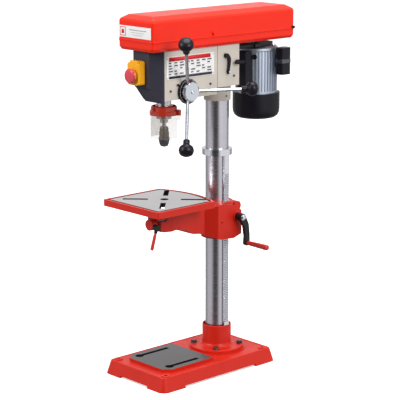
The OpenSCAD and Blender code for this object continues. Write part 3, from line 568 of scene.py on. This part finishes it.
def head_details():
    """Screws on the head's sides, the spring cap's nut and the tension lever's tip."""
    side = 65 * MM
    right_screws = ((-140, 898), (20, 905), (118, 920))
    left_screws = ((-100, 930), (110, 930))
    screws = [screw((side, y * MM, z * MM), X) for y, z in right_screws]
    screws += [screw((-side, y * MM, z * MM), -X) for y, z in left_screws]
    piece("head_side_screws", screws, "dark_steel", "root", 0.15 * MM)
    cap = (low("spring_cap").x, FEED.y, FEED.z)
    piece("spring_cap_nuts", hex_head(cap, -X, 9 * MM, 3.5 * MM, 1.2), "zinc", "root",
          0.2 * MM)
    lever_end = (76.5 * MM, 91 * MM, low("tension_lever").z + 5 * MM)
    tip = lathe([(-0.5 * MM, 4.4 * MM), (1.6 * MM, 4.4 * MM), (2.2 * MM, 3.6 * MM)], lever_end, X, 28)
    piece("tension_lever_tip", [tip], "chrome", "tension_lever", 0.15 * MM)


def feed_details():
    """The hub's centre screw and the depth ring's scale."""
    hub = screw((high("feed_hub").x - 0.4 * MM, FEED.y, FEED.z), X, 6 * MM, 2.5 * MM)
    piece("feed_hub_screw", [hub], "zinc", "feed", 0.2 * MM)
    centre = Vector((74 * MM, FEED.y, FEED.z))
    faces = [(3, 2, 1, 0), (4, 5, 6, 7), (0, 1, 5, 4), (1, 2, 6, 5), (2, 3, 7, 6), (3, 0, 4, 7)]
    count, outer, half = 60, 36.6 * MM, 0.35 * MM
    marks = []
    for k in range(count):
        angle = 2 * math.pi * k / count
        inner = (31.5 if k % 5 == 0 else 34) * MM
        across = Vector((0, -math.sin(angle), math.cos(angle)))
        outwards = Vector((0, math.cos(angle), math.sin(angle)))
        corners = [centre + outwards * r + across * s + X * depth
                   for depth in (-0.2 * MM, 0.15 * MM)
                   for r, s in ((inner, -half), (outer, -half), (outer, half), (inner, half))]
        marks.append((corners, faces))
    piece("depth_ring_scale", marks, "white", "depth_ring", 0)


def chuck_details():
    """Flutes round the chuck's sleeve, and a ring round each of its three key holes."""
    centre = (SPINDLE.x, SPINDLE.y, 0)
    profile = [(726.5 * MM, 12.5 * MM), (728 * MM, 13.3 * MM), (738 * MM, 15.7 * MM),
               (740 * MM, 16.15 * MM), (746 * MM, 16.15 * MM), (747 * MM, 15.6 * MM)]
    piece("chuck_flutes", [lathe(profile, centre, Z, 180, flutes(36, 0.035))], "dark_steel",
          "chuck_sleeve", 0)
    ring = [(0, 3.6 * MM), (0.6 * MM, 3.6 * MM), (0.6 * MM, 2.4 * MM), (0.1 * MM, 2.2 * MM)]
    hole_height, hole_radius = 758 * MM, 14.3 * MM
    holes = []
    for k in range(3):
        angle = math.radians(120 * k - 60)
        out = Vector((math.cos(angle), math.sin(angle), 0))
        spot = Vector((SPINDLE.x, SPINDLE.y, hole_height)) + out * hole_radius
        holes.append(lathe(ring, spot, out, 24))
    piece("chuck_key_rings", holes, "dark_steel", "spindle", 0)


def motor_details():
    """Tie bolts, the terminal box's lid and gland, the capacitor's strap and the side plug."""
    axis = Vector((0, MOTOR.y, 0))
    bolt_circle, top = 52 * MM, 996.5 * MM
    bolts = []
    for k in range(4):
        angle = math.radians(45 + 90 * k)
        spot = axis + Vector((bolt_circle * math.cos(angle), bolt_circle * math.sin(angle), top))
        bolts += hex_head(spot, Z, 4.5 * MM, 3.5 * MM)
    piece("motor_tie_bolts", bolts, "zinc", "motor", 0.15 * MM)
    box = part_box("junction_box")
    front, x0, x1 = box[0].y, box[0].x, box[1].x
    screw_head = [(0, 2.6 * MM), (1.2 * MM, 2.6 * MM), (1.8 * MM, 1.8 * MM)]
    lid_low, lid_high = 866, 980
    lid = [block((x0 - 1 * MM, front - 2.5 * MM, lid_low * MM),
                 (x1 + 1 * MM, front + 0.5 * MM, lid_high * MM))]
    lid += [lathe(screw_head, (x, front - 2.4 * MM, z * MM), -Y, 20)
            for x in (x0 + 4 * MM, x1 - 4 * MM) for z in (lid_low + 5, lid_high - 5)]
    piece("terminal_lid", lid, "black", "motor", 0.8 * MM)
    gland = lathe([(0, 9.2 * MM), (5 * MM, 9.2 * MM), (6 * MM, 8.4 * MM)],
                  (18 * MM, axis.y - 72 * MM, 852 * MM), Z, 36, hexagon)
    piece("terminal_gland", [gland], "black", "motor", 0.3 * MM)
    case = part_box("capacitor_case")
    case_left, strap_low, strap_high = 68 * MM, 944 * MM, 956 * MM
    strap = hoop(rounded((case_left, case[0].y), (case[1].x, case[1].y), 9 * MM),
                 [(-0.5 * MM, strap_low), (0.9 * MM, strap_low), (0.9 * MM, strap_high),
                  (-0.5 * MM, strap_high)])
    piece("capacitor_strap", [strap], "dark_steel", "motor", 0.2 * MM)
    out = Vector((0.645, -0.764, 0))
    plug = lathe([(-1 * MM, 8 * MM), (1.6 * MM, 8 * MM), (2.2 * MM, 7 * MM), (2.2 * MM, 4.5 * MM),
                  (1.2 * MM, 4.2 * MM)], axis + out * 66 * MM + Z * 965 * MM, out, 32)
    piece("motor_plug", [plug], "black", "motor", 0.3 * MM)


def base_details():
    """The bead round the base's top edge."""
    a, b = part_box("base")
    flare, top = 13 * MM, 42 * MM
    inset = flare + 3.5 * MM
    outline = rounded((a.x + inset, a.y + inset), (b.x - inset, b.y - inset), 10 * MM)
    section = [(-3.2 * MM, top - 0.6 * MM), (3.2 * MM, top - 0.6 * MM), (2.4 * MM, top + 0.9 * MM),
               (0, top + 1.6 * MM), (-2.4 * MM, top + 0.9 * MM)]
    piece("base_bead", [hoop(outline, section)], "red_cast", "root", 0.3 * MM)


def table_outline(inset, steps=24):
    """The table's outline, moved inwards: a straight front and sides, and an arched back."""
    a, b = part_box("table")
    radius = ARCH_RADIUS - inset
    arch_middle = b.y - ARCH_RADIUS
    half = b.x - inset
    swing = math.asin(half / radius)
    points = [(-half, a.y + inset), (half, a.y + inset)]
    for i in range(steps + 1):
        angle = swing - 2 * swing * i / steps
        points.append((radius * math.sin(angle), arch_middle + radius * math.cos(angle)))
    return points


def table_details():
    """A dark red band round the machined face: painted shade along the groove's edge."""
    top, half = high("table").z, 1.1 * MM
    section = [(-half, top - 0.4 * MM), (half, top - 0.4 * MM), (half, top + 0.05 * MM),
               (-half, top + 0.05 * MM)]
    line = hoop(table_outline(14.2 * MM), section)
    # a dark red band laid on the face as painted shade of the groove
    piece("table_paint_line", [line], "groove_band_shade", "table", 0)


def crank_details():
    """The nut on its washer that holds the crank's arm on the worm shaft."""
    end = (100.4 * MM, CRANK.y, CRANK.z)
    piece("crank_nut", hex_head(end, X, 7.5 * MM, 5 * MM, 1.25), "zinc", "crank", 0.2 * MM)


lid_label()
chart()
cover_details()
head_details()
feed_details()
chuck_details()
motor_details()
base_details()
table_details()
crank_details()


# ---- stage -----------------------------------------------------------------------------------

def floor():
    """A pale floor that only the camera and the shadows see."""
    size = 60.0
    mesh = bpy.data.meshes.new("studio_floor")
    corners = [(-size, -size, 0), (size, -size, 0), (size, size, 0), (-size, size, 0)]
    mesh.from_pydata(corners, [], [(0, 1, 2, 3)])
    obj = bpy.data.objects.new("studio_floor", mesh)
    scene.collection.objects.link(obj)
    look = Look("studio_floor", (0.90, 0.90, 0.90), 0.9, specular=0.0)
    look.set("Emission Color", (1, 1, 1, 1))
    look.set("Emission Strength", FLOOR_GLOW)
    mesh.materials.append(look.material)
    obj.visible_diffuse = False
    obj.visible_glossy = False


def area_light(name, place, target, size, power):
    """A soft rectangle of light, size metres across, with power in watts."""
    light = bpy.data.lights.new(name, "AREA")
    light.shape = "RECTANGLE"
    light.size, light.size_y = size
    light.energy = power
    obj = bpy.data.objects.new(name, light)
    scene.collection.objects.link(obj)
    obj.location = place
    obj.rotation_euler = (Vector(target) - Vector(place)).to_track_quat("-Z", "Y").to_euler()


# Soft light by direction: (azimuth from, azimuth to, soft edge, strength), in degrees
PANELS = ((-24, 72, 6, 0.55), (100, 175, 8, 0.45), (-150, -88, 8, 0.35))
DARK_CARD = (-80, -32, 6, -0.30)
AROUND, ABOVE, BELOW = 0.34, 0.95, 0.30
CEILING = (0.45, 0.85)            # a direction's z, where the light from above fades in
GROUND = (-0.32, -0.62)           # and where the light from below does
FLOOR_GLOW = 0.45

# The camera that was fitted to the photo, which looks along CAMERA_AIM
CAMERA_PLACE = (3.4885, -3.1763, 1.5995)
CAMERA_AIM = Vector((-0.7175, 0.6611, -0.2195))
FOCAL_LENGTH, SENSOR_WIDTH = 141.07, 36


def world_light():
    """White to the camera; to everything else a grey room with soft panels and a dark card."""
    world = bpy.data.worlds.new("studio")
    scene.world = world
    world.use_nodes = True
    tree = world.node_tree
    links = tree.links

    def add(kind, **settings):
        node = tree.nodes.new(kind)
        for key, value in settings.items():
            setattr(node, key, value)
        return node

    def maths(operation, a, b):
        node = add("ShaderNodeMath", operation=operation)
        for socket, value in zip(node.inputs, (a, b)):
            if isinstance(value, (int, float)):
                socket.default_value = value
            else:
                links.new(value, socket)
        return node.outputs[0]

    def rise(value, start, end):
        node = add("ShaderNodeMapRange", interpolation_type="SMOOTHSTEP")
        node.inputs["From Min"].default_value = start
        node.inputs["From Max"].default_value = end
        links.new(value, node.inputs["Value"])
        return node.outputs["Result"]

    direction = add("ShaderNodeSeparateXYZ")
    links.new(add("ShaderNodeTexCoord").outputs["Generated"], direction.inputs[0])
    x, y, z = direction.outputs
    azimuth = maths("ARCTAN2", y, x)
    ceiling = rise(z, *CEILING)
    side = maths("SUBTRACT", 1.0, ceiling)
    total = AROUND
    for start, end, edge, strength in (*PANELS, DARK_CARD):
        a, b, e = math.radians(start), math.radians(end), math.radians(edge)
        inside = maths("MULTIPLY", rise(azimuth, a - e, a + e),
                       maths("SUBTRACT", 1.0, rise(azimuth, b - e, b + e)))
        total = maths("ADD", maths("MULTIPLY", maths("MULTIPLY", inside, side), strength), total)
    total = maths("ADD", maths("MULTIPLY", ceiling, ABOVE - AROUND), total)
    lower = rise(z, *GROUND)
    total = maths("ADD", maths("MULTIPLY", total, maths("SUBTRACT", 1.0, lower)),
                  maths("MULTIPLY", lower, BELOW))
    seen = add("ShaderNodeLightPath").outputs["Is Camera Ray"]
    total = maths("ADD", maths("MULTIPLY", total, maths("SUBTRACT", 1.0, seen)), seen)
    background = tree.nodes["Background"]
    background.inputs["Color"].default_value = (1, 1, 1, 1)
    links.new(total, background.inputs["Strength"])


def lights():
    """The room's light and three soft lights: right, front left and above."""
    world_light()
    area_light("key", (3.2, -0.2, 2.2), (0, 0, 1.0), (1.4, 1.4), 66)
    area_light("front", (-1.0, -3.2, 2.4), (0, 0, 0.7), (1.4, 1.4), 85)
    area_light("top", (0.2, 0.2, 3.8), (0, 0, 0), (2.0, 2.0), 95)


def camera():
    """A long lens at the photo's viewing angle."""
    data = bpy.data.cameras.new("camera")
    data.sensor_width = SENSOR_WIDTH
    data.lens = FOCAL_LENGTH
    obj = bpy.data.objects.new("camera", data)
    scene.collection.objects.link(obj)
    obj.location = CAMERA_PLACE
    obj.rotation_euler = CAMERA_AIM.to_track_quat("-Z", "Y").to_euler()
    scene.camera = obj


floor()
lights()
camera()
scene.view_settings.view_transform = "Standard"
